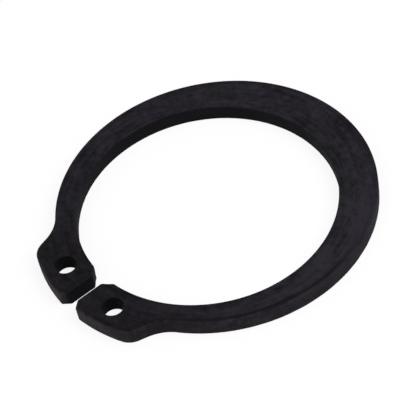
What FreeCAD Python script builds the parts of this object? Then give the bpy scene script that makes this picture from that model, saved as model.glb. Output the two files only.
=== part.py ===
import FreeCAD, Part

import math
import os

import Sketcher

# External retaining ring for a 32 mm shaft: an open ring stamped from spring steel, with a band
# that is widest opposite the gap and a lug with a plier hole on each side of the gap.
# The shaft axis is Z, the gap points towards -Y and the origin lies halfway through the thickness.

NODE = "retaining_ring"

# Driving dimensions: millimetres, and degrees for the angle.
DIMENSIONS = [
    ("seat_diameter", 29.6, "inner diameter of the relaxed ring"),
    ("ring_thickness", 2.0, "thickness of the strip"),
    ("wide_band", 4.72, "width of the band opposite the gap"),
    ("narrow_band", 2.18, "width that the band's outer circle would leave at the gap"),
    ("lug_width", 5.1, "width of a lug, from the inner circle to the circle round the lugs"),
    ("lug_half_span", 8.5, "distance from the middle of the gap to a lug's sharp outer corner"),
    ("flank_angle", 15.6, "lean of a lug's flank away from the gap"),
    ("lug_corner_radius", 2.3, "rounding of a lug's outer corner"),
    ("neck_radius", 5.0, "hollow rounding from the flank into the band"),
    ("gap_width", 1.6, "gap between the two lugs"),
    ("gap_chamfer", 1.0, "bevel where the gap meets the inner circle"),
    ("tip_bevel_width", 0.7, "bevel at the gap end of a lug, across the gap"),
    ("tip_bevel_height", 0.9, "bevel at the gap end of a lug, along the gap"),
    ("corner_break", 0.3, "rounding of the corners beside the gap"),
    ("hole_diameter", 2.5, "diameter of a plier hole"),
    ("hole_spacing", 8.6, "distance between the centres of the plier holes"),
    ("upper_edge_radius", 0.12, "rounding that the die leaves along the upper edge of the outline"),
    ("lower_edge_bevel", 0.06, "bevel that takes the burr off the edges of the lower face"),
]

# A lug stands out of the band by its rise. Its corner and neck stay small enough to fit in that.
LUG_RISE = "(Dimensions.lug_width - Dimensions.narrow_band)"
MOST_CORNER_PER_RISE = 0.95
MOST_NECK_PER_RISE = 2.0
# An edge's rounding or bevel stays clear of the other face.
MOST_EDGE_PER_THICKNESS = 0.45

# How a sketch numbers the ends and centre of a curve, and its own axes.
START, END, CENTRE = range(1, 4)
X_AXIS, Y_AXIS = range(-1, -3, -1)
ORIGIN = (X_AXIS, START)
TOLERANCE = 1e-4


def make_sheet(doc):
    """Put the driving dimensions into a spreadsheet, one row each."""
    sheet = doc.addObject("Spreadsheet::Sheet", "Dimensions")
    for row, (alias, value, meaning) in enumerate(DIMENSIONS, start=1):
        sheet.set(f"A{row}", meaning)
        sheet.set(f"B{row}", str(value))
        sheet.setAlias(f"B{row}", alias)
    doc.recompute()
    return sheet


def origin_feature(body, role):
    """Return the origin plane or axis of a body by its role."""
    for feature in body.Origin.OriginFeatures:
        if feature.Role == role:
            return feature
    raise LookupError(role)


def new_sketch(body, name):
    """Start a sketch on the XY plane of the body."""
    sketch = body.newObject("Sketcher::SketchObject", name)
    sketch.AttachmentSupport = [(origin_feature(body, "XY_Plane"), "")]
    sketch.MapMode = "FlatFace"
    return sketch


def drive(sketch, constraint, name, expression):
    """Add a dimension to a sketch and bind it to the spreadsheet."""
    index = sketch.addConstraint(constraint)
    sketch.renameConstraint(index, name)
    sketch.setExpression(f"Constraints.{name}", expression)


def arc_between(centre, first, last):
    """Return the arc round a centre that runs anticlockwise from the first point to the last."""
    circle = Part.Circle(centre, FreeCAD.Vector(0, 0, 1), first.distanceToPoint(centre))
    start = math.atan2(first.y - centre.y, first.x - centre.x)
    end = math.atan2(last.y - centre.y, last.x - centre.x)
    return Part.ArcOfCircle(circle, start, end)


def first_on_circle(base, direction, centre, radius):
    """Return the first point of a line, in its direction, that lies on a circle."""
    offset = base - centre
    middle = -offset.dot(direction)
    reach = math.sqrt(middle**2 - offset.dot(offset) + radius**2)
    return base + direction * (middle - reach)


def below_axis(x, radius):
    """Return the point of a circle round the shaft axis that lies on its gap side at the given X."""
    return FreeCAD.Vector(x, -math.sqrt(radius**2 - x**2), 0)


def outline_geometry(sheet):
    """Work out the lines and arcs of the half outline where they meet."""
    axis = FreeCAD.Vector(0, 0, 0)
    seat_radius = sheet.seat_diameter / 2
    band_radius = (sheet.seat_diameter + sheet.wide_band + sheet.narrow_band) / 2
    band_centre = FreeCAD.Vector(0, (sheet.wide_band - sheet.narrow_band) / 2, 0)
    lug_radius = seat_radius + sheet.lug_width
    lug_rise = sheet.lug_width - sheet.narrow_band
    corner_radius = min(sheet.lug_corner_radius, MOST_CORNER_PER_RISE * lug_rise)
    neck_radius = min(sheet.neck_radius, MOST_NECK_PER_RISE * lug_rise)

    lean = math.radians(sheet.flank_angle)
    up_flank = FreeCAD.Vector(math.sin(lean), math.cos(lean), 0)
    outward = FreeCAD.Vector(math.cos(lean), -math.sin(lean), 0)
    sharp_corner = below_axis(sheet.lug_half_span, lug_radius)
    corner_centre = first_on_circle(
        sharp_corner - outward * corner_radius, up_flank, axis, lug_radius - corner_radius
    )
    neck_centre = first_on_circle(
        sharp_corner + outward * neck_radius, up_flank, band_centre, band_radius + neck_radius
    )
    flank_start = corner_centre + outward * corner_radius
    flank_end = neck_centre - outward * neck_radius
    lug_end = FreeCAD.Vector(corner_centre).normalize() * lug_radius
    band_start = band_centre + (neck_centre - band_centre).normalize() * band_radius
    band_end = band_centre + FreeCAD.Vector(0, band_radius, 0)

    gap_x = sheet.gap_width / 2
    tip = below_axis(gap_x + sheet.tip_bevel_width, lug_radius)
    gap_outer = FreeCAD.Vector(gap_x, tip.y + sheet.tip_bevel_height, 0)
    seat_start = below_axis(gap_x + sheet.gap_chamfer, seat_radius)
    gap_inner = FreeCAD.Vector(gap_x, seat_start.y - sheet.gap_chamfer, 0)
    seat_end = FreeCAD.Vector(0, seat_radius, 0)

    return {
        "band": arc_between(band_centre, band_start, band_end),
        "neck": arc_between(neck_centre, band_start, flank_end),
        "flank": Part.LineSegment(flank_start, flank_end),
        "lug_corner": arc_between(corner_centre, lug_end, flank_start),
        "lug_end": arc_between(axis, tip, lug_end),
        "tip_bevel": Part.LineSegment(gap_outer, tip),
        "gap_face": Part.LineSegment(gap_inner, gap_outer),
        "gap_chamfer": Part.LineSegment(gap_inner, seat_start),
        "seat": arc_between(axis, seat_start, seat_end),
        "middle": Part.LineSegment(seat_end, band_end),
        "sharp_corner": Part.Point(sharp_corner),
    }


def join_outline(sketch, line):
    """Join the curves of the half outline end to end and tie them to the origin and the Y axis."""
    meetings = [
        ("Tangent", "band", START, "neck", START),
        ("Tangent", "neck", END, "flank", END),
        ("Tangent", "flank", START, "lug_corner", END),
        ("Tangent", "lug_corner", START, "lug_end", END),
        ("Coincident", "lug_end", START, "tip_bevel", END),
        ("Coincident", "tip_bevel", START, "gap_face", END),
        ("Coincident", "gap_face", START, "gap_chamfer", START),
        ("Coincident", "gap_chamfer", END, "seat", START),
        ("Coincident", "seat", END, "middle", START),
        ("Coincident", "middle", END, "band", END),
    ]
    for kind, first, first_end, second, second_end in meetings:
        sketch.addConstraint(
            Sketcher.Constraint(kind, line[first], first_end, line[second], second_end)
        )
    for name in ("seat", "lug_end"):
        sketch.addConstraint(Sketcher.Constraint("Coincident", line[name], CENTRE, *ORIGIN))
    for name, point in (("band", CENTRE), ("middle", START), ("middle", END)):
        sketch.addConstraint(Sketcher.Constraint("PointOnObject", line[name], point, Y_AXIS))
    for name in ("flank", "lug_end"):
        sketch.addConstraint(
            Sketcher.Constraint("PointOnObject", line["sharp_corner"], START, line[name])
        )
    sketch.addConstraint(Sketcher.Constraint("Vertical", line["gap_face"]))


def size_outline(sketch, line):
    """Bind the radii, distances and angle of the half outline to the spreadsheet."""
    radii = {
        "seat": "Dimensions.seat_diameter / 2",
        "band": "(Dimensions.seat_diameter + Dimensions.wide_band + Dimensions.narrow_band) / 2",
        "lug_end": "Dimensions.seat_diameter / 2 + Dimensions.lug_width",
        "lug_corner": f"min(Dimensions.lug_corner_radius; {MOST_CORNER_PER_RISE} * {LUG_RISE})",
        "neck": f"min(Dimensions.neck_radius; {MOST_NECK_PER_RISE} * {LUG_RISE})",
    }
    for name, expression in radii.items():
        radius = sketch.Geometry[line[name]].Radius
        drive(sketch, Sketcher.Constraint("Radius", line[name], radius), f"{name}_radius", expression)

    band_offset = "(Dimensions.wide_band - Dimensions.narrow_band) / 2"
    spans = [
        ("DistanceY", ORIGIN, ("band", CENTRE), band_offset),
        ("DistanceX", ORIGIN, ("sharp_corner", START), "Dimensions.lug_half_span"),
        ("DistanceX", ORIGIN, ("gap_face", START), "Dimensions.gap_width / 2"),
        ("DistanceX", ("tip_bevel", START), ("tip_bevel", END), "Dimensions.tip_bevel_width"),
        ("DistanceY", ("tip_bevel", END), ("tip_bevel", START), "Dimensions.tip_bevel_height"),
        ("DistanceX", ("gap_chamfer", START), ("gap_chamfer", END), "Dimensions.gap_chamfer"),
        ("DistanceY", ("gap_chamfer", START), ("gap_chamfer", END), "Dimensions.gap_chamfer"),
    ]
    for kind, (first, first_point), (last, last_point), expression in spans:
        ends = (line.get(first, first), first_point, line[last], last_point)
        step = sketch.getPoint(*ends[2:]) - sketch.getPoint(*ends[:2])
        distance = step.x if kind == "DistanceX" else step.y
        drive(sketch, Sketcher.Constraint(kind, *ends, distance), f"{last}_{kind}", expression)

    flank = sketch.getPoint(line["flank"], END) - sketch.getPoint(line["flank"], START)
    rise = math.atan2(flank.y, flank.x)
    constraint = Sketcher.Constraint("Angle", line["flank"], rise)
    drive(sketch, constraint, "flank_angle", "90 - Dimensions.flank_angle")


def draw_half_outline(body, sheet):
    """Sketch one half of the ring, closed along the Y axis."""
    sketch = new_sketch(body, "HalfOutline")
    line = {}
    for name, curve in outline_geometry(sheet).items():
        line[name] = sketch.addGeometry(curve, name == "sharp_corner")
    join_outline(sketch, line)
    size_outline(sketch, line)
    return sketch


def pad_half_ring(doc, body, sheet):
    """Give the half outline the thickness of the strip."""
    pad = body.newObject("PartDesign::Pad", "HalfRing")
    pad.Profile = draw_half_outline(body, sheet)
    pad.SideType = "Symmetric"
    pad.setExpression("Length", "Dimensions.ring_thickness")
    doc.recompute()
    return pad


def edges_beside_gap(shape, sheet):
    """Name the upright edges of the bevels on the lug's gap end."""
    reach = sheet.gap_width / 2 + max(sheet.gap_chamfer, sheet.tip_bevel_width) + TOLERANCE
    names = []
    for number, edge in enumerate(shape.Edges, start=1):
        box = edge.BoundBox
        upright = box.XLength < TOLERANCE and box.YLength < TOLERANCE
        if upright and box.YMax < 0 and box.XMax < reach:
            names.append(f"Edge{number}")
    return names


def break_gap_corners(doc, body, pad, sheet):
    """Round the corners beside the gap, where the bevels meet the gap face and the arcs."""
    corners = body.newObject("PartDesign::Fillet", "GapCorners")
    corners.Base = (pad, edges_beside_gap(pad.Shape, sheet))
    corners.setExpression("Radius", "Dimensions.corner_break")
    doc.recompute()
    return corners


def plier_hole_centre(sheet):
    """Return the centre of the plier hole, on the circle halfway across the lug."""
    return below_axis(sheet.hole_spacing / 2, (sheet.seat_diameter + sheet.lug_width) / 2)


def pierce_plier_hole(doc, body, sheet):
    """Punch the plier hole through the lug."""
    sketch = new_sketch(body, "PlierHoleCentre")
    centre = plier_hole_centre(sheet)
    up = FreeCAD.Vector(0, 0, 1)
    hole = sketch.addGeometry(Part.Circle(centre, up, sheet.hole_diameter / 2))
    halfway = sketch.addGeometry(Part.Circle(FreeCAD.Vector(0, 0, 0), up, centre.Length), True)
    sketch.addConstraint(Sketcher.Constraint("Coincident", halfway, CENTRE, *ORIGIN))
    sketch.addConstraint(Sketcher.Constraint("PointOnObject", hole, CENTRE, halfway))
    drive(
        sketch,
        Sketcher.Constraint("Diameter", halfway, 2 * centre.Length),
        "halfway_diameter",
        "Dimensions.seat_diameter + Dimensions.lug_width",
    )
    drive(
        sketch,
        Sketcher.Constraint("DistanceX", *ORIGIN, hole, CENTRE, centre.x),
        "hole_distance",
        "Dimensions.hole_spacing / 2",
    )
    drive(
        sketch,
        Sketcher.Constraint("Diameter", hole, sheet.hole_diameter),
        "hole_diameter",
        "Dimensions.hole_diameter",
    )

    pocket = body.newObject("PartDesign::Pocket", "PlierHole")
    pocket.Profile = sketch
    pocket.Type = "ThroughAll"
    pocket.SideType = "Symmetric"
    doc.recompute()
    return pocket


def mirror_half(doc, body):
    """Complete the ring with the other half."""
    mirrored = body.newObject("PartDesign::Mirrored", "BothHalves")
    mirrored.TransformMode = "Whole shape"
    mirrored.MirrorPlane = (origin_feature(body, "YZ_Plane"), [""])
    mirrored.Refine = True
    body.Tip = mirrored
    doc.recompute()
    return mirrored


def flat_face(shape, height):
    """Name the flat face of the ring that lies at the given height."""
    for number, face in enumerate(shape.Faces, start=1):
        box = face.BoundBox
        if box.ZLength < TOLERANCE and abs(box.ZMax - height) < TOLERANCE:
            return f"Face{number}"
    raise LookupError("flat face")


def outline_edges(shape, height):
    """Name the edges round the outline at the given height, without those of the plier holes."""
    names = []
    for number, edge in enumerate(shape.Edges, start=1):
        box = edge.BoundBox
        level = box.ZLength < TOLERANCE and abs(box.ZMax - height) < TOLERANCE
        if level and not edge.isClosed():
            names.append(f"Edge{number}")
    return names


def round_upper_edges(doc, body, ring, sheet):
    """Round the upper edge of the outline, where the die drew the metal in."""
    edges = body.newObject("PartDesign::Fillet", "DieRoll")
    edges.Base = (ring, outline_edges(ring.Shape, sheet.ring_thickness / 2))
    limit = f"{MOST_EDGE_PER_THICKNESS} * Dimensions.ring_thickness"
    edges.setExpression("Radius", f"min(Dimensions.upper_edge_radius; {limit})")
    body.Tip = edges
    doc.recompute()
    return edges


def break_lower_edges(doc, body, ring, sheet):
    """Bevel the edges of the lower face, where the burr was."""
    edges = body.newObject("PartDesign::Chamfer", "BurrBreak")
    edges.Base = (ring, [flat_face(ring.Shape, -sheet.ring_thickness / 2)])
    limit = f"{MOST_EDGE_PER_THICKNESS} * Dimensions.ring_thickness"
    edges.setExpression("Size", f"min(Dimensions.lower_edge_bevel; {limit})")
    body.Tip = edges
    doc.recompute()
    return edges


def build_ring(doc, sheet):
    """Build the ring as one solid."""
    body = doc.addObject("PartDesign::Body", "RetainingRing")
    body.Label = NODE
    body.Placement = FreeCAD.Placement()
    pad = pad_half_ring(doc, body, sheet)
    break_gap_corners(doc, body, pad, sheet)
    pierce_plier_hole(doc, body, sheet)
    ring = mirror_half(doc, body)
    ring = round_upper_edges(doc, body, ring, sheet)
    break_lower_edges(doc, body, ring, sheet)
    return body


def check_document(doc, body, sheet):
    """Stop if a feature failed, or if the solid isn't the ring that the dimensions give."""
    for item in doc.Objects:
        if "Invalid" in item.State or "Error" in item.State:
            raise RuntimeError(f"{item.Name} failed: {item.State}")
        if item.TypeId == "Sketcher::SketchObject" and not item.FullyConstrained:
            raise RuntimeError(f"{item.Name} isn't fully constrained")
    shape = body.Shape
    if shape.isNull() or not shape.isValid() or len(shape.Solids) != 1:
        raise RuntimeError(f"{body.Label} isn't one valid solid")
    centre = plier_hole_centre(sheet)
    for side in (-1, 1):
        if shape.isInside(FreeCAD.Vector(side * centre.x, centre.y, 0), TOLERANCE, True):
            raise RuntimeError("a plier hole isn't open")


def main():
    os.makedirs("parts", exist_ok=True)
    doc = FreeCAD.newDocument("RetainingRing")
    sheet = make_sheet(doc)
    body = build_ring(doc, sheet)
    doc.recompute()
    check_document(doc, body, sheet)
    body.Shape.exportStep(f"parts/{NODE}.step")
    box = body.Shape.optimalBoundingBox(True, False)
    print(f"{NODE}: {box.XLength:.2f} x {box.YLength:.2f} x {box.ZLength:.2f} mm,", end=" ")
    print(f"volume {body.Shape.Volume:.1f} mm3")


main()
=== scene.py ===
import math
from collections import namedtuple

import bpy
import numpy as np
from mathutils import Matrix, Vector, noise
from mathutils.geometry import delaunay_2d_cdt


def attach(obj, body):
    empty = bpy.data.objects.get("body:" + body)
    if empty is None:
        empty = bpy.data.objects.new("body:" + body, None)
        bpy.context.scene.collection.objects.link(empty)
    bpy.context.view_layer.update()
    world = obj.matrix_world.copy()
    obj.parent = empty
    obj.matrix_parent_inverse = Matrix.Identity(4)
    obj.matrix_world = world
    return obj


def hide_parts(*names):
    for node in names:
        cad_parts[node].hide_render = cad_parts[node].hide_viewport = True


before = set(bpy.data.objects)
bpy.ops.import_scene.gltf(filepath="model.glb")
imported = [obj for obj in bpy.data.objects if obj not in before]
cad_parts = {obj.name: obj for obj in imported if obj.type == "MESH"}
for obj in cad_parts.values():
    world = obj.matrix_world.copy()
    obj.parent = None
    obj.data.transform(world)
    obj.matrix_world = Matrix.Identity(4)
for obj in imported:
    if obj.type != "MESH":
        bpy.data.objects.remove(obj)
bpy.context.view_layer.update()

# An external retaining ring for a 32 mm shaft, stamped from spring steel and phosphated black.
# It lies flat, with the shaft axis on Z and the gap towards -Y. Lengths are in millimetres here
# and become metres where the mesh, the floor, the lights and the camera are made.
MM = 0.001
NODE = "retaining_ring"
PIECE = "ring_body"

# The same sizes as the CAD part.
SEAT_RADIUS = 14.8
HALF_THICKNESS = 1.0
WIDE_BAND = 4.72
NARROW_BAND = 2.18
LUG_WIDTH = 5.1
LUG_HALF_SPAN = 8.5
FLANK_LEAN = math.radians(15.6)
LUG_CORNER_RADIUS = 2.3
NECK_RADIUS = 5.0
HALF_GAP = 0.8
GAP_CHAMFER = 1.0
TIP_BEVEL_WIDTH = 0.7
TIP_BEVEL_HEIGHT = 0.9
CORNER_BREAK = 0.3
HOLE_RADIUS = 1.25
HOLE_X = 4.3
UPPER_EDGE_RADIUS = 0.12
LOWER_EDGE_BEVEL = 0.06
# The rounding and the bevel of the edges in the gap and in the plier holes, which look crisp.
CRISP_EDGE_RADIUS = 0.04
CRISP_EDGE_BEVEL = 0.02

LUG_RADIUS = SEAT_RADIUS + LUG_WIDTH
BAND_RADIUS = SEAT_RADIUS + (WIDE_BAND + NARROW_BAND) / 2
BAND_OFFSET = (WIDE_BAND - NARROW_BAND) / 2
HOLE_CIRCLE = (SEAT_RADIUS + LUG_RADIUS) / 2

# How finely the mesh is divided. The net in a face keeps a share of its step clear of the rims.
OUTLINE_STEP = 0.2
ARC_STEP = math.radians(9)
FACE_STEP = 0.21
NET_CLEARANCE = 0.6
ROUNDING_ROWS = 6
WALL_ROWS = 10
# The triangulation fills the hull of its points, and merges points closer than this.
FILL_HULL = 0
MERGE_DISTANCE = 1e-6

# The middle row of the lower bevel bulges: this share of the bevel inward and down.
BEVEL_BULGE_INWARD = 0.3
BEVEL_BULGE_DOWN = 0.55

# How far the surface lies below its ideal shape, so that all of it stays in the CAD part's box.
# The faces have long waves and are drawn in beside the edges.
FACE_WAVE = 0.012
FACE_WAVE_LENGTH = 5.0
UPPER_SEED = 0
LOWER_SEED = 5
DRAW_IN_DEPTH = 0.035
DRAW_IN_REACH = 0.55
# The walls have waves that are stretched down the wall, because only a share of the height counts.
WALL_WAVE = 0.012
WALL_WAVE_LENGTH = 1.6
WALL_WAVE_HEIGHT_SHARE = 0.35
WALL_SEED = 3
# The upper share of a wall was sheared smooth. Below a wandering border it broke and is rough.
SHEARED_SHARE = 0.42
BORDER_WANDER = 0.22
BORDER_WAVE_LENGTH = 2.2
BORDER_WIDTH = 0.12
BORDER_SEED = 7
FRACTURE_DEPTH = 0.03
FRACTURE_SLOPE = 0.5
FRACTURE_ROUGHNESS = 0.02
FRACTURE_GRAIN = 0.28
FRACTURE_SEED = 11
# The part of the walls' relief that is left in the gap and in the holes.
CRISP_RELIEF = 0.25
# How strongly the smooth noise swings, and how its finer layers follow from its coarse one.
WAVE_CONTRAST = 0.6
WAVE_FALLOFF = 1.0
WAVE_LACUNARITY = 2.0

# What the mesh tells the shader of each point, from 0 to 1: how much it is worn as an edge, which also
# paints a highlight there, that it is on a wall, how the gap, a hole or the seat shelters it, which sets
# the painted shade of their walls, and how near it is to a rim, which places the painted shade along the
# rims.
MARKS = ("edge", "wall", "shelter", "margin")
SEAT_SHELTER = 0.8
# The share of its wear, painted highlight and drawing-in that a fully sheltered edge lacks.
SHELTERED_LOSS = 0.7
# How far the edge mark reaches into the face: wear together with a painted highlight.
WEAR_AND_HIGHLIGHT_REACH = 0.2
MARGIN_REACH = 1.0
# The edge mark's strength on the rim and the bevel: wear together with a painted highlight.
RIM_WEAR_AND_HIGHLIGHT = 0.25
BEVEL_WEAR_AND_HIGHLIGHT = 0.3
BEVEL_BULGE_WEAR_AND_HIGHLIGHT = 0.6
BEVEL_BULGE_WALL = 0.8

# The patterns of the finish. Streaks and blotches run along the band, scores run down the walls.
MOTTLE_SIZE = 0.8
STREAK_WIDTH = 0.42
STREAK_LENGTH = 5.0
BLOTCH_WIDTH = 2.0
BLOTCH_LENGTH = 4.5
BLOTCH_SHIFT = (11.9, 0.0, 5.3)
TINT_SIZE = 4.5
TINT_SHIFT = (31.0, 17.0, 0.0)
GRAIN_SIZE = 0.17
SCORE_SIZE = 0.2
SCORE_LENGTH = 12.0

# The coat's colours.
COAT_DARK = (0.0068, 0.0062, 0.0079, 1)
COAT_LIGHT = (0.0250, 0.0233, 0.0291, 1)
COAT_DARK_PLUM = (0.0075, 0.0061, 0.0091, 1)
COAT_LIGHT_PLUM = (0.0261, 0.0223, 0.0316, 1)
COAT_SPECK = (0.0450, 0.0410, 0.0520, 1)
# Painted shade: the colour of the dark line along the rims.
COAT_RIM_PAINTED_SHADE = (0.0046, 0.0040, 0.0052, 1)
# Wear lightens edges and walls to this colour, which also paints highlights on the edges and light on the
# lug ends' walls.
COAT_WEAR_AND_PAINTED_LIGHT = (0.0500, 0.0415, 0.0490, 1)
# Painted shade: the walls of the gap and the plier holes are darkened to this colour, and the seat wall
# nearly as much.
COAT_RECESS_PAINTED_SHADE = (0.0044, 0.0040, 0.0050, 1)
# Painted shade: the lugs' colour is multiplied by this.
LUG_PAINTED_SHADE = (0.63, 0.64, 0.59, 1)

# How much each pattern does for the coat's tone. A spread is the range of a pattern's values over
# which it takes effect, and a pair of strengths is its effect at the two ends of that range.
MOTTLE_SHARE = 0.40
BLOTCH_SHARE = 0.27
STREAK_SHARE = 0.33
# The share of the painted light on the +X side.
PAINTED_LIT_SIDE_SHARE = 0.055
TONE_SPREAD = (0.40, 0.60)
TINT_SPREAD = (0.38, 0.62)
SPECK_SPREAD = (0.58, 0.76)
SPECK_STRENGTH = (0.0, 0.4)

# Zones of the ring, each from where it starts to where it is full. The band is painted a little paler on
# its +X side as painted light, and the lugs are painted darker as painted shade.
PAINTED_LIT_SIDE_WAY = (0.93, 0.37)
PAINTED_LIT_SIDE_ZONE = (14.0, 17.0)
LUG_ZONE = (-7.0, -16.0)
# Painted shade: a dark line inside the rims, strongest towards +X and -Y, and weaker on the lugs.
# Its place and width are counted in the margin mark.
RIM_PAINTED_SHADE_LINE = 0.70
RIM_PAINTED_SHADE_LINE_WIDTH = 0.36
RIM_PAINTED_SHADE_WAY = (0.80, -0.60)
RIM_PAINTED_SHADE_ZONE = (7.0, 13.0)
RIM_PAINTED_SHADE_STRENGTH = (0.25, 0.88)
RIM_PAINTED_SHADE_LUG_STRENGTH = (1.0, 0.45)

# Edges and walls are worn lighter, in patches and more along some scores: less on the half away
# from the gap, and most on the ends of the lugs. Part of it is painted light: a painted highlight on
# the edges, painted light on the lug ends' walls, and the lower walls painted a little lighter as light
# bounced from the floor.
PATCH_SPREAD = (0.38, 0.60)
LEAST_PATCH = 0.5
HANDLED_ZONE = (2.0, -6.0)
HANDLED_STRENGTH = (0.2, 1.0)
EDGE_WEAR_AND_HIGHLIGHT = 0.34
# Painted light: the lower walls are a little lighter, as light bounced from the floor.
WALL_PAINTED_BOUNCE_HEIGHTS = (-0.9, 0.2)
WALL_PAINTED_BOUNCE = (1.1, 1.0)
SCORE_SPREAD = (0.35, 0.65)
SCORE_STRENGTH = (0.5, 1.0)
LUG_END_ZONE = (-17.0, -18.7)
LUG_END_STRENGTH = (0.58, 1.35)
# How fully the sheltered walls take the painted shade.
RECESS_PAINTED_SHADE_STRENGTH = 0.95

# How the coat takes light, and how deep its patterns are.
COAT_SPECULAR = 0.04
ROUGHNESS_SPREAD = (0.3, 0.7)
ROUGHNESS = (0.68, 0.85)
WORN_POLISH = 0.12
GRAIN_DEPTH = 0.014
MOTTLE_DEPTH = 0.03
SCORE_DEPTH = 0.02
STREAK_DEPTH = 0.01

# White paper under the ring, and the share of it that is glow instead of paper to the camera.
FLOOR_REACH = 1500.0
FLOOR_CLEARANCE = 0.005
PAPER_GREY = 0.6
PAPER_GLOW = 1.16
GLOW_SHARE = 0.75

# A white room, dimmer to the ring than to the camera, and two soft square lights.
WORLD_LEVEL = 0.5
KEY_PLACE = (160.0, 100.0, 260.0)
KEY_SIDE = 200.0
KEY_LEVEL = 0.48
FRONT_PLACE = (200.0, -700.0, 500.0)
FRONT_SIDE = 500.0
FRONT_LEVEL = 0.12

# The camera stands where the photograph's stood over this ring.
CAMERA_PLACE = (155.8, -91.4, 194.2)
CAMERA_AIM = (0.0, 0.0, 0.0)
CAMERA_ROLL = math.radians(12.0)
CAMERA_LENS = 205
CAMERA_SENSOR = 36
CAMERA_CLIP_START = 10.0
CAMERA_CLIP_END = 10000.0


def direction(angle):
    """Return the unit vector at an angle from X."""
    return np.array([math.cos(angle), math.sin(angle)])


def angle_of(vector):
    """Return the angle of a vector from X."""
    return math.atan2(vector[1], vector[0])


def right_of(vector):
    """Return the vector turned a quarter turn clockwise."""
    return np.array([vector[1], -vector[0]])


def unit(vector):
    """Return the vector at a length of 1."""
    return vector / np.linalg.norm(vector)


def between(first, last, share):
    """Return the value that lies a share of the way from the first to the last."""
    return first + (last - first) * share


def smooth(value):
    """Ease a value, or each of several, from 0 to 1."""
    value = np.clip(value, 0, 1)
    return value * value * (3 - 2 * value)


def wave(x, y, z, length, octaves, seed):
    """Return smooth noise from 0 to 1 at a point."""
    place = Vector((x / length + seed, y / length, z / length))
    swing = noise.fractal(place, WAVE_FALLOFF, WAVE_LACUNARITY, octaves)
    return min(max(0.5 + WAVE_CONTRAST * swing, 0), 1)


def arc(centre, radius, start, end):
    """Sample an arc, without its last point: the material is on the left of the way it runs."""
    turn = end - start
    steps = max(math.ceil(abs(turn) / ARC_STEP), math.ceil(abs(turn) * radius / OUTLINE_STEP))
    points = []
    for step in range(steps):
        radial = direction(start + turn * step / steps)
        points.append((centre + radius * radial, radial * math.copysign(1, turn)))
    return points


def line(first, last):
    """Sample a straight line, without its last point, with the material on its left."""
    steps = math.ceil(np.linalg.norm(last - first) / OUTLINE_STEP)
    normal = right_of(unit(last - first))
    return [(first + (last - first) * step / steps, normal) for step in range(steps)]


def turn_between(before, after):
    """Return the turn from one direction to another, at most half a turn either way."""
    turn = angle_of(after) - angle_of(before)
    return (turn + math.pi) % (2 * math.pi) - math.pi


def rounded_corner(corner, before, after):
    """Return the start and end of the rounding of a corner between two directions, and its samples."""
    turn = turn_between(before, after)
    cut = CORNER_BREAK * math.tan(turn / 2)
    start = corner - before * cut
    centre = start - right_of(before) * CORNER_BREAK
    first_angle = angle_of(right_of(before))
    samples = arc(centre, CORNER_BREAK, first_angle, first_angle + turn)
    return start, corner + after * cut, samples


def below_axis(x, radius):
    """Return the point of a circle round the shaft axis on its gap side at the given X."""
    return np.array([x, -math.sqrt(radius**2 - x**2)])


def first_on_circle(base, along, centre, radius):
    """Return the first point of a line, in its direction, that lies on a circle."""
    offset = base - centre
    middle = -offset @ along
    reach = math.sqrt(middle**2 - offset @ offset + radius**2)
    return base + along * (middle - reach)


def gap_end():
    """Sample the lug's end beside the gap, from the seat to the circle round the lugs.

    Return the angles at which the seat and that circle are cut off, with the samples between.
    """
    seat_corner = below_axis(HALF_GAP + GAP_CHAMFER, SEAT_RADIUS)
    inner_corner = np.array([HALF_GAP, seat_corner[1] - GAP_CHAMFER])
    tip = below_axis(HALF_GAP + TIP_BEVEL_WIDTH, LUG_RADIUS)
    outer_corner = np.array([HALF_GAP, tip[1] + TIP_BEVEL_HEIGHT])
    corners = [seat_corner, inner_corner, outer_corner, tip]
    ways = [unit(last - first) for first, last in zip(corners, corners[1:])]
    along_seat = right_of(unit(seat_corner))
    along_lug_end = -right_of(unit(tip))
    ways = [along_seat, *ways, along_lug_end]

    roundings = [rounded_corner(*turning) for turning in zip(corners, ways, ways[1:])]
    seat_end, _, samples = roundings[0]
    for (_, line_start, _), (line_end, _, rounding) in zip(roundings, roundings[1:]):
        samples = samples + line(line_start, line_end) + rounding
    lug_start = roundings[-1][1]
    return angle_of(seat_end), samples, angle_of(lug_start)


def right_half():
    """Sample the right half of the outline, from the top of the seat to the top of the band."""
    axis = np.zeros(2)
    band_centre = np.array([0, BAND_OFFSET])
    up_flank = direction(math.pi / 2 - FLANK_LEAN)
    outward = right_of(up_flank)
    sharp_corner = below_axis(LUG_HALF_SPAN, LUG_RADIUS)
    corner_centre = first_on_circle(
        sharp_corner - outward * LUG_CORNER_RADIUS, up_flank, axis, LUG_RADIUS - LUG_CORNER_RADIUS
    )
    neck_centre = first_on_circle(
        sharp_corner + outward * NECK_RADIUS, up_flank, band_centre, BAND_RADIUS + NECK_RADIUS
    )
    flank_start = corner_centre + outward * LUG_CORNER_RADIUS
    flank_end = neck_centre - outward * NECK_RADIUS
    seat_end, end_samples, lug_start = gap_end()
    outward_angle = angle_of(outward)
    neck_start = outward_angle + math.pi
    neck_end = angle_of(band_centre - neck_centre) % (2 * math.pi)

    half = arc(axis, SEAT_RADIUS, math.pi / 2, seat_end)
    half += end_samples
    half += arc(axis, LUG_RADIUS, lug_start, angle_of(corner_centre))
    half += arc(corner_centre, LUG_CORNER_RADIUS, angle_of(corner_centre), outward_angle)
    half += line(flank_start, flank_end)
    half += arc(neck_centre, NECK_RADIUS, neck_start, neck_end)
    half += arc(band_centre, BAND_RADIUS, neck_end - math.pi, math.pi / 2)
    half.append((band_centre + [0, BAND_RADIUS], direction(math.pi / 2)))
    return half


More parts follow.
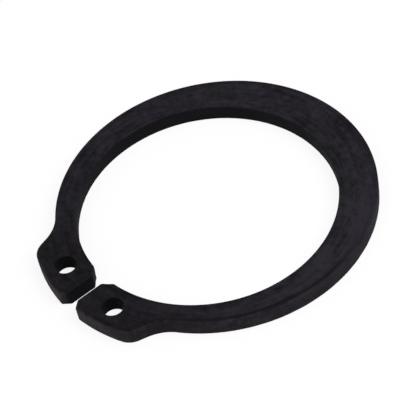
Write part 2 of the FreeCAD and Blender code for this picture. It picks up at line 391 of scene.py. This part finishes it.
def ring_outline():
    """Return the whole outline, anticlockwise, as points and outward normals."""
    half = right_half()
    flip = np.array([-1, 1])
    other = [(point * flip, normal * flip) for point, normal in reversed(half[1:-1])]
    return [np.array(column) for column in zip(*half, *other)]


def hole_outline(side):
    """Return the outline of a plier hole, clockwise, with normals that point to its centre."""
    centre = below_axis(HOLE_X, HOLE_CIRCLE) * [side, 1]
    return [np.array(column) for column in zip(*arc(centre, HOLE_RADIUS, 0, -2 * math.pi))]


def gap_nearness(points):
    """Return 1 on the two faces of the gap, and less beside them, up to the width of the tip's bevel."""
    beside = (HALF_GAP + TIP_BEVEL_WIDTH - np.abs(points[:, 0])) / TIP_BEVEL_WIDTH
    return smooth(beside) * (points[:, 1] < 0)


def seat_nearness(points):
    """Return the seat's shelter on the inner circle, and less up to the depth of the gap's bevels."""
    return SEAT_SHELTER * smooth((SEAT_RADIUS + GAP_CHAMFER - np.hypot(*points.T)) / GAP_CHAMFER)


class Rim:
    """One closed outline: its points, outward normals, and what its edges and wall are like there."""

    def __init__(self, points, normals, crispness, shelter):
        self.points = points
        self.normals = normals
        self.rounding = between(UPPER_EDGE_RADIUS, CRISP_EDGE_RADIUS, crispness)
        self.bevel = between(LOWER_EDGE_BEVEL, CRISP_EDGE_BEVEL, crispness)
        self.relief = between(1, CRISP_RELIEF, crispness)
        self.shelter = shelter


def exposure(shelter):
    """Return how much of its wear, painted highlight and drawing-in an edge has."""
    return 1 - SHELTERED_LOSS * shelter


def face_sink(point, edge_distance, shelter, seed):
    """Return how far a flat face lies below its ideal plane."""
    drawn_in = DRAW_IN_DEPTH * exposure(shelter) * math.exp(-edge_distance / DRAW_IN_REACH)
    return drawn_in + FACE_WAVE * wave(*point, 0, FACE_WAVE_LENGTH, octaves=2, seed=seed)


def wall_sink(point, height):
    """Return how far the stamped wall lies inside its ideal line.

    It is smooth where it was sheared, and deeper and rough below.
    """
    share = (HALF_THICKNESS - height) / (2 * HALF_THICKNESS)
    wander = wave(*point, 0, BORDER_WAVE_LENGTH, octaves=2, seed=BORDER_SEED) - 0.5
    below_border = share - (SHEARED_SHARE + BORDER_WANDER * wander)
    torn = smooth(below_border / BORDER_WIDTH)
    depth = FRACTURE_DEPTH * smooth(below_border / FRACTURE_SLOPE)
    roughness = FRACTURE_ROUGHNESS * wave(*point, height, FRACTURE_GRAIN, octaves=3, seed=FRACTURE_SEED)
    wave_height = WALL_WAVE_HEIGHT_SHARE * height
    sink = WALL_WAVE * wave(*point, wave_height, WALL_WAVE_LENGTH, octaves=2, seed=WALL_SEED)
    return sink + torn * (depth + roughness)


# One row down the wall: how far inward and how high it is, its marks for edge and wall, how much of
# the wall's relief it has, and how far it goes with the upper face rather than with the lower one.
Row = namedtuple("Row", "inward height edge wall relief upper")


def profile(rounding, bevel, shelter):
    """Return the rows down the wall, from the upper face to the lower one."""
    wear = exposure(shelter)
    rows = []
    for number in range(ROUNDING_ROWS + 1):
        share = number / ROUNDING_ROWS
        turn = math.pi / 2 * share
        inward = rounding * (1 - math.sin(turn))
        height = HALF_THICKNESS - rounding * (1 - math.cos(turn))
        # The edge mark: wear, and a painted highlight.
        edge = wear * between(RIM_WEAR_AND_HIGHLIGHT, 1, math.sin(2 * turn))
        rows.append(Row(inward, height, edge, wall=share, relief=share, upper=1))
    top = HALF_THICKNESS - rounding
    bottom = bevel - HALF_THICKNESS
    for number in range(1, WALL_ROWS + 1):
        share = number / WALL_ROWS
        rows.append(Row(0, between(top, bottom, share), edge=0, wall=1, relief=1, upper=1 - share))
    bulge = bottom - bevel * BEVEL_BULGE_DOWN
    edge = BEVEL_BULGE_WEAR_AND_HIGHLIGHT * wear
    rows.append(Row(bevel * BEVEL_BULGE_INWARD, bulge, edge, wall=BEVEL_BULGE_WALL, relief=1, upper=0))
    rows.append(Row(bevel, -HALF_THICKNESS, BEVEL_WEAR_AND_HIGHLIGHT * wear, wall=0, relief=1, upper=0))
    return rows


class RingMesh:
    """Collects the vertices, faces and surface marks of the ring."""

    def __init__(self):
        self.vertices = []
        self.faces = []
        self.marks = {name: [] for name in MARKS}

    def add(self, x, y, z, edge, wall, shelter, margin):
        """Add a vertex with its marks and return its number."""
        self.vertices.append((x * MM, y * MM, z * MM))
        for name, mark in zip(MARKS, (edge, wall, shelter, margin)):
            self.marks[name].append(mark)
        return len(self.vertices) - 1

    def add_wall(self, rim):
        """Lay the profile round an outline and return the vertices along its upper and lower face."""
        profiles = [profile(*traits) for traits in zip(rim.rounding, rim.bevel, rim.shelter)]
        loops = []
        for rows in zip(*profiles):
            loop = []
            along = zip(rim.points, rim.normals, rim.relief, rim.shelter, rows)
            for point, normal, relief, shelter, row in along:
                sink = wall_sink(point, row.height) * row.relief * relief
                place = point - normal * (row.inward + sink)
                lowered = row.upper * face_sink(place, 0, shelter, UPPER_SEED)
                raised = (1 - row.upper) * face_sink(place, 0, shelter, LOWER_SEED)
                height = row.height - lowered + raised
                loop.append(self.add(*place, height, row.edge, row.wall, shelter, margin=1))
            loops.append(loop)
        for upper, lower in zip(loops, loops[1:]):
            for i in range(len(upper)):
                j = (i + 1) % len(upper)
                self.faces.append((upper[i], lower[i], lower[j], upper[j]))
        return loops[0], loops[-1]

    def add_face_point(self, point, height, rims):
        """Add a vertex inside a flat face, with the sink and the marks of its distance from the rims."""
        nearest_of_rims = []
        for rim in rims:
            distances = np.hypot(*(rim.points - point).T)
            nearest = np.argmin(distances)
            nearest_of_rims.append((distances[nearest], rim.rounding[nearest], rim.shelter[nearest]))
        from_outline, rounding, shelter = min(nearest_of_rims)
        distance = max(from_outline - rounding, 0)
        seed = UPPER_SEED if height > 0 else LOWER_SEED
        sink = face_sink(point, distance, shelter, seed)
        # The edge mark beside the rims: wear, and a painted highlight.
        edge = RIM_WEAR_AND_HIGHLIGHT * exposure(shelter) * math.exp(-((distance / WEAR_AND_HIGHLIGHT_REACH) ** 2))
        margin = max(1 - distance / MARGIN_REACH, 0)
        sunk_height = height - math.copysign(sink, height)
        return self.add(*point, sunk_height, edge, 0, shelter, margin)

    def add_face(self, rims, loops, height):
        """Fill one flat face between its rims with an even net of triangles."""
        loop_places = [np.array([self.vertices[v][:2] for v in loop]) / MM for loop in loops]
        rim_vertices = [v for loop in loops for v in loop]
        edges = []
        for loop in loops:
            first = len(edges)
            edges += [(first + i, first + (i + 1) % len(loop)) for i in range(len(loop))]
        places = np.vstack(loop_places + [net_points(loop_places)])
        flat, _, triangles, sources, _, _ = delaunay_2d_cdt(
            [Vector(p) for p in places], edges, [], FILL_HULL, MERGE_DISTANCE
        )
        vertices = []
        for point, origin in zip(flat, sources):
            on_rim = origin[0] < len(rim_vertices)
            vertices.append(rim_vertices[origin[0]] if on_rim else self.add_face_point(point, height, rims))
        centres = np.array([np.mean([flat[i][:] for i in t], axis=0) for t in triangles])
        for triangle, kept in zip(triangles, inside(centres, loop_places)):
            if kept:
                corners = [vertices[i] for i in triangle]
                self.faces.append(corners if height > 0 else corners[::-1])


def inside(points, loops):
    """Say which points lie inside the first loop and outside the others."""
    crossings = np.zeros(len(points), int)
    for loop in loops:
        for (x0, y0), (x1, y1) in zip(loop, np.roll(loop, -1, axis=0)):
            spans = (y0 > points[:, 1]) != (y1 > points[:, 1])
            if y1 == y0:
                continue
            x = x0 + (points[:, 1] - y0) * (x1 - x0) / (y1 - y0)
            crossings += spans & (points[:, 0] < x)
    return crossings % 2 == 1


def net_points(rim_places):
    """Return an even net of points inside a face, clear of its rims."""
    rows = np.arange(-LUG_RADIUS, LUG_RADIUS, FACE_STEP * math.sqrt(3) / 2)
    points = []
    for number, y in enumerate(rows):
        shift = FACE_STEP / 2 * (number % 2)
        for x in np.arange(-LUG_RADIUS, LUG_RADIUS, FACE_STEP):
            points.append((x + shift, y))
    points = np.array(points)
    points = points[inside(points, rim_places)]
    rims = np.vstack(rim_places)
    clear = [np.min(np.hypot(*(rims - p).T)) > NET_CLEARANCE * FACE_STEP for p in points]
    return points[clear]


def make_ring():
    """Build the ring's mesh as one closed surface."""
    points, normals = ring_outline()
    near_gap = gap_nearness(points)
    rims = [Rim(points, normals, near_gap, np.maximum(near_gap, seat_nearness(points)))]
    for side in (1, -1):
        points, normals = hole_outline(side)
        all_round = np.ones(len(points))
        rims.append(Rim(points, normals, crispness=all_round, shelter=all_round))
    mesh = RingMesh()
    loops = [mesh.add_wall(rim) for rim in rims]
    upper_loops, lower_loops = zip(*loops)
    mesh.add_face(rims, upper_loops, HALF_THICKNESS)
    mesh.add_face(rims, lower_loops, -HALF_THICKNESS)

    data = bpy.data.meshes.new(PIECE)
    data.from_pydata(mesh.vertices, [], mesh.faces)
    data.validate()
    data.shade_smooth()
    for name, marks in mesh.marks.items():
        layer = data.attributes.new(name, "FLOAT", "POINT")
        layer.data.foreach_set("value", marks)
    ring = bpy.data.objects.new(PIECE, data)
    bpy.context.collection.objects.link(ring)
    return ring


class Nodes:
    """A short way to write a node tree."""

    def __init__(self, tree):
        self.tree = tree

    def fill(self, socket, value):
        """Link an output to an input, or set the input's own value."""
        if isinstance(value, bpy.types.NodeSocket):
            self.tree.links.new(value, socket)
        else:
            socket.default_value = value

    def new(self, kind, inputs=None, **settings):
        """Add a node with its settings, and fill its inputs."""
        node = self.tree.nodes.new(kind)
        for name, value in settings.items():
            setattr(node, name, value)
        for name, value in (inputs or {}).items():
            self.fill(node.inputs[name], value)
        return node

    def maths(self, operation, *values):
        return self.new("ShaderNodeMath", dict(enumerate(values)), operation=operation).outputs[0]

    def product(self, first, *others):
        """Multiply values, from the first to the last."""
        for value in others:
            first = self.maths("MULTIPLY", first, value)
        return first

    def weighted(self, *parts):
        """Add values up, each times its weight."""
        total = 0.0
        for value, weight in parts:
            total = self.maths("MULTIPLY_ADD", value, weight, total)
        return total

    def noise(self, vector, scale, detail, roughness):
        inputs = {"Vector": vector, "Scale": scale, "Detail": detail, "Roughness": roughness}
        return self.new("ShaderNodeTexNoise", inputs).outputs["Fac"]

    def shifted(self, place, shift):
        return self.new("ShaderNodeVectorMath", {0: place, 1: shift}, operation="ADD").outputs[0]

    def stretched(self, place, length):
        """Stretch a place along Z."""
        shares = (1.0, 1.0, 1 / length)
        return self.new("ShaderNodeVectorMath", {0: place, 1: shares}, operation="MULTIPLY").outputs[0]

    def range(self, value, low, high, to_low=0.0, to_high=1.0):
        """Turn the range from low to high into another, and hold what lies past it at its ends."""
        ends = {"From Min": low, "From Max": high, "To Min": to_low, "To Max": to_high}
        return self.new("ShaderNodeMapRange", {"Value": value, **ends}).outputs["Result"]

    def mix(self, factor, first, last, blend="MIX"):
        """Mix two colours."""
        node = self.new("ShaderNodeMix", data_type="RGBA", blend_type=blend)
        inputs = {socket.identifier: socket for socket in node.inputs}
        outputs = {socket.identifier: socket for socket in node.outputs}
        self.fill(inputs["Factor_Float"], factor)
        self.fill(inputs["A_Color"], first)
        self.fill(inputs["B_Color"], last)
        return outputs["Result_Color"]

    def bump(self, height, depth, normal=None):
        """Add relief of a depth in millimetres to a normal, or to the surface's own."""
        inputs = {"Height": height, "Strength": 1.0, "Distance": depth * MM}
        if normal is not None:
            inputs["Normal"] = normal
        return self.new("ShaderNodeBump", inputs).outputs["Normal"]


def new_material(name):
    """Return an empty material and its nodes."""
    material = bpy.data.materials.new(name)
    material.use_nodes = True
    material.node_tree.nodes.clear()
    return material, Nodes(material.node_tree)


class SteelSurface:
    """What the steel's shader knows of a point, and what it makes of that."""

    def __init__(self, nodes):
        self.nodes = nodes
        self.read_place_and_marks()
        self.draw_patterns()
        self.find_zones()

    def read_place_and_marks(self):
        """Read the point's place, in millimetres, and its marks."""
        nodes = self.nodes
        metres = nodes.new("ShaderNodeTexCoord").outputs["Object"]
        scaling = nodes.new("ShaderNodeVectorMath", {0: metres, "Scale": 1 / MM}, operation="SCALE")
        self.place = scaling.outputs[0]
        self.x, self.y, self.z = nodes.new("ShaderNodeSeparateXYZ", {"Vector": self.place}).outputs
        self.edge, self.wall, self.shelter, self.margin = (
            nodes.new("ShaderNodeAttribute", attribute_name=name).outputs["Fac"] for name in MARKS
        )

    def draw_patterns(self):
        """Lay the noise patterns of the finish over the ring."""
        nodes = self.nodes
        streak_place = self.along_the_band(STREAK_WIDTH, STREAK_LENGTH)
        self.streaks = nodes.noise(streak_place, 1.0, detail=3.0, roughness=0.6)
        self.mottle = nodes.noise(self.place, 1 / MOTTLE_SIZE, detail=3.0, roughness=0.65)
        blotch_place = nodes.shifted(self.along_the_band(BLOTCH_WIDTH, BLOTCH_LENGTH), BLOTCH_SHIFT)
        self.blotches = nodes.noise(blotch_place, 1.0, detail=2.0, roughness=0.5)
        tint_place = nodes.shifted(self.place, TINT_SHIFT)
        self.tints = nodes.noise(tint_place, 1 / TINT_SIZE, detail=2.0, roughness=0.5)
        self.grain = nodes.noise(self.place, 1 / GRAIN_SIZE, detail=2.0, roughness=0.6)
        score_place = nodes.stretched(self.place, SCORE_LENGTH)
        self.scores = nodes.noise(score_place, 1 / SCORE_SIZE, detail=2.0, roughness=0.6)

    def find_zones(self):
        """Work out how far the point is in the zones that more than one look needs."""
        nodes = self.nodes
        self.lugs = nodes.range(self.y, *LUG_ZONE)
        self.handled = nodes.range(self.y, *HANDLED_ZONE, *HANDLED_STRENGTH)
        patches = nodes.weighted((self.mottle, 0.5), (self.blotches, 0.5))
        self.patches = nodes.range(patches, *PATCH_SPREAD)
        # The edges' wear, which also paints a highlight on them.
        self.worn_and_highlit = nodes.product(self.edge, self.patches, self.handled)

    def along_the_band(self, width, length):
        """Return a place in which one step is a width across the band and a length along it."""
        nodes = self.nodes
        flat_place = nodes.new("ShaderNodeCombineXYZ", {"X": self.x, "Y": self.y}).outputs[0]
        radius = nodes.new("ShaderNodeVectorMath", {0: flat_place}, operation="LENGTH").outputs["Value"]
        turn = nodes.maths("ARCTAN2", self.x, self.y)
        steps = {
            "X": nodes.maths("DIVIDE", radius, width),
            "Y": nodes.maths("MULTIPLY", turn, BAND_RADIUS / length),
            "Z": nodes.maths("DIVIDE", self.z, width),
        }
        return nodes.new("ShaderNodeCombineXYZ", steps).outputs[0]

    def distance_towards(self, way):
        """Return how far the point lies from the shaft axis in a direction of the ring's plane."""
        return self.nodes.weighted((self.x, way[0]), (self.y, way[1]))

    def clean_coat(self):
        """Return the colour of the coat where nothing has touched it."""
        nodes = self.nodes
        # Painted light: the band is lighter towards its +X side.
        painted_lit_side = nodes.range(self.distance_towards(PAINTED_LIT_SIDE_WAY), *PAINTED_LIT_SIDE_ZONE)
        tone = nodes.weighted(
            (self.mottle, MOTTLE_SHARE),
            (self.blotches, BLOTCH_SHARE),
            (self.streaks, STREAK_SHARE),
            (painted_lit_side, PAINTED_LIT_SIDE_SHARE),
        )
        tone = nodes.range(tone, *TONE_SPREAD)
        black = nodes.mix(tone, COAT_DARK, COAT_LIGHT)
        plum = nodes.mix(tone, COAT_DARK_PLUM, COAT_LIGHT_PLUM)
        coat = nodes.mix(nodes.range(self.tints, *TINT_SPREAD), black, plum)
        # Painted shade: the lugs are darker.
        coat = nodes.mix(self.lugs, coat, LUG_PAINTED_SHADE, "MULTIPLY")
        specks = nodes.range(self.grain, *SPECK_SPREAD, *SPECK_STRENGTH)
        return nodes.mix(specks, coat, COAT_SPECK)

    def painted_rim_shade(self):
        """Return how strongly painted shade darkens the point: a line along the rims, but not in sheltered
        places.
        """
        nodes = self.nodes
        off_line = nodes.maths("ABSOLUTE", nodes.maths("SUBTRACT", self.margin, RIM_PAINTED_SHADE_LINE))
        shade_line = nodes.range(off_line, 0.0, RIM_PAINTED_SHADE_LINE_WIDTH, 1.0, 0.0)
        shade_side = nodes.range(self.distance_towards(RIM_PAINTED_SHADE_WAY), *RIM_PAINTED_SHADE_ZONE, *RIM_PAINTED_SHADE_STRENGTH)
        on_lugs = nodes.range(self.lugs, 0.0, 1.0, *RIM_PAINTED_SHADE_LUG_STRENGTH)
        open_place = nodes.maths("SUBTRACT", 1.0, self.shelter)
        return nodes.product(shade_line, shade_side, on_lugs, open_place)

    def wall_wear_and_light(self):
        """Return how much a wall is lightened: wear, with painted light on the lug ends' walls and on the
        lower wall.
        """
        nodes = self.nodes
        # Painted light: the lower wall is a little lighter, as light bounced from the floor.
        heights = nodes.range(self.z, *WALL_PAINTED_BOUNCE_HEIGHTS, *WALL_PAINTED_BOUNCE)
        scored = nodes.range(self.scores, *SCORE_SPREAD, *SCORE_STRENGTH)
        patches = nodes.maths("MAXIMUM", self.patches, LEAST_PATCH)
        # Painted light: the lug ends' walls are lighter.
        lug_ends = nodes.range(self.y, *LUG_END_ZONE, *LUG_END_STRENGTH)
        return nodes.product(heights, self.wall, scored, patches, self.handled, lug_ends)

    def colour(self):
        """Return the coat's colour, with its painted shade along the rims, its wear with painted light, and
        the painted shade of its sheltered walls.
        """
        nodes = self.nodes
        # Painted shade: a dark line along the rims.
        coat = nodes.mix(self.painted_rim_shade(), self.clean_coat(), COAT_RIM_PAINTED_SHADE)
        # Wear on the walls and edges, with painted light on the walls and a painted highlight on the edges.
        coat = nodes.mix(self.wall_wear_and_light(), coat, COAT_WEAR_AND_PAINTED_LIGHT)
        coat = nodes.mix(nodes.product(self.worn_and_highlit, EDGE_WEAR_AND_HIGHLIGHT), coat, COAT_WEAR_AND_PAINTED_LIGHT)
        # Painted shade on the walls of the gap and the plier holes, and the seat wall darkened too.
        painted_recess_shade = nodes.product(self.shelter, self.wall, RECESS_PAINTED_SHADE_STRENGTH)
        return nodes.mix(painted_recess_shade, coat, COAT_RECESS_PAINTED_SHADE)

    def roughness(self):
        """Return the coat's roughness, which wear lowers."""
        nodes = self.nodes
        roughness = nodes.range(self.mottle, *ROUGHNESS_SPREAD, *ROUGHNESS)
        return nodes.maths("SUBTRACT", roughness, nodes.product(self.worn_and_highlit, WORN_POLISH))

    def relief(self):
        """Return the normal with the patterns' fine relief, the scores only on the walls."""
        nodes = self.nodes
        normal = nodes.bump(self.grain, GRAIN_DEPTH)
        normal = nodes.bump(self.mottle, MOTTLE_DEPTH, normal)
        normal = nodes.bump(nodes.product(self.scores, self.wall), SCORE_DEPTH, normal)
        return nodes.bump(self.streaks, STREAK_DEPTH, normal)


def phosphated_steel():
    """Matt black phosphate on stamped spring steel: mottled, worn lighter along the outer edges, with
    painted light and shade: highlights on the edges, a lighter +X side, darker lugs, and shade along the
    rims and on the sheltered walls.
    """
    material, nodes = new_material("phosphated_steel_visual")
    surface = SteelSurface(nodes)
    inputs = {
        "Base Color": surface.colour(),
        "Roughness": surface.roughness(),
        "Normal": surface.relief(),
        "Specular IOR Level": COAT_SPECULAR,
    }
    shader = nodes.new("ShaderNodeBsdfPrincipled", inputs)
    nodes.new("ShaderNodeOutputMaterial", {"Surface": shader.outputs[0]})
    return material


def seen_directly(nodes):
    """Return 1 for what the camera sees, also in a reflection or through glass."""
    path = nodes.new("ShaderNodeLightPath")
    seen = nodes.maths("MAXIMUM", path.outputs["Is Camera Ray"], path.outputs["Is Glossy Ray"])
    return nodes.maths("MAXIMUM", seen, path.outputs["Is Transmission Ray"])


def white_floor():
    """White paper that still takes the ring's soft shadow."""
    material, nodes = new_material("white_floor")
    paper = nodes.new("ShaderNodeBsdfDiffuse", {"Color": (PAPER_GREY, PAPER_GREY, PAPER_GREY, 1)})
    glow = nodes.new("ShaderNodeEmission", {"Color": (1, 1, 1, 1), "Strength": PAPER_GLOW})
    share = nodes.maths("MULTIPLY", seen_directly(nodes), GLOW_SHARE)
    mix = nodes.new("ShaderNodeMixShader", {0: share, 1: paper.outputs[0], 2: glow.outputs[0]})
    nodes.new("ShaderNodeOutputMaterial", {"Surface": mix.outputs[0]})
    return material


def make_floor():
    """Lay a wide sheet of paper just below the ring."""
    reach = FLOOR_REACH * MM
    height = (-HALF_THICKNESS - FLOOR_CLEARANCE) * MM
    corners = [(x * reach, y * reach, height) for x, y in ((-1, -1), (1, -1), (1, 1), (-1, 1))]
    data = bpy.data.meshes.new("floor")
    data.from_pydata(corners, [], [(0, 1, 2, 3)])
    floor = bpy.data.objects.new("floor", data)
    bpy.context.collection.objects.link(floor)
    data.materials.append(white_floor())


def make_world():
    """Surround the ring with an even white room."""
    world = bpy.data.worlds.new("studio")
    bpy.context.scene.world = world
    world.use_nodes = True
    world.node_tree.nodes.clear()
    nodes = Nodes(world.node_tree)
    strength = nodes.maths("MULTIPLY_ADD", seen_directly(nodes), 1.0 - WORLD_LEVEL, WORLD_LEVEL)
    background = nodes.new("ShaderNodeBackground", {"Color": (1, 1, 1, 1), "Strength": strength})
    nodes.new("ShaderNodeOutputWorld", {"Surface": background.outputs[0]})


def add_softbox(name, place, side, level):
    """Add a square light that faces the ring and lights white paper there to its level of white.

    A watt of it lights the paper by 1 / (pi * distance**2), and the paper sends back 1 / pi of that.
    """
    place = Vector(place) * MM
    data = bpy.data.lights.new(name, "AREA")
    data.shape = "SQUARE"
    data.size = side * MM
    data.energy = level * math.pi * math.pi * place.length_squared
    light = bpy.data.objects.new(name, data)
    light.visible_camera = False
    light.location = place
    light.rotation_mode = "QUATERNION"
    light.rotation_quaternion = (-place).to_track_quat("-Z", "Y")
    bpy.context.collection.objects.link(light)


def make_camera():
    """Stand the camera over the ring, aim it and roll it."""
    place = Vector(CAMERA_PLACE) * MM
    aim = Vector(CAMERA_AIM) * MM
    data = bpy.data.cameras.new("camera")
    data.lens = CAMERA_LENS
    data.sensor_width = CAMERA_SENSOR
    data.clip_start = CAMERA_CLIP_START * MM
    data.clip_end = CAMERA_CLIP_END * MM
    camera = bpy.data.objects.new("camera", data)
    look = (aim - place).to_track_quat("-Z", "Y").to_matrix()
    rolled = look @ Matrix.Rotation(-CAMERA_ROLL, 3, "Z")
    camera.matrix_world = Matrix.Translation(place) @ rolled.to_4x4()
    bpy.context.collection.objects.link(camera)
    bpy.context.scene.camera = camera


make_camera()
ring = make_ring()
ring.data.materials.append(phosphated_steel())
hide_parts(NODE)
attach(ring, "root")
make_floor()
make_world()
add_softbox("key", KEY_PLACE, KEY_SIDE, KEY_LEVEL)
add_softbox("front", FRONT_PLACE, FRONT_SIDE, FRONT_LEVEL)

bpy.context.scene.view_settings.view_transform = "Standard"
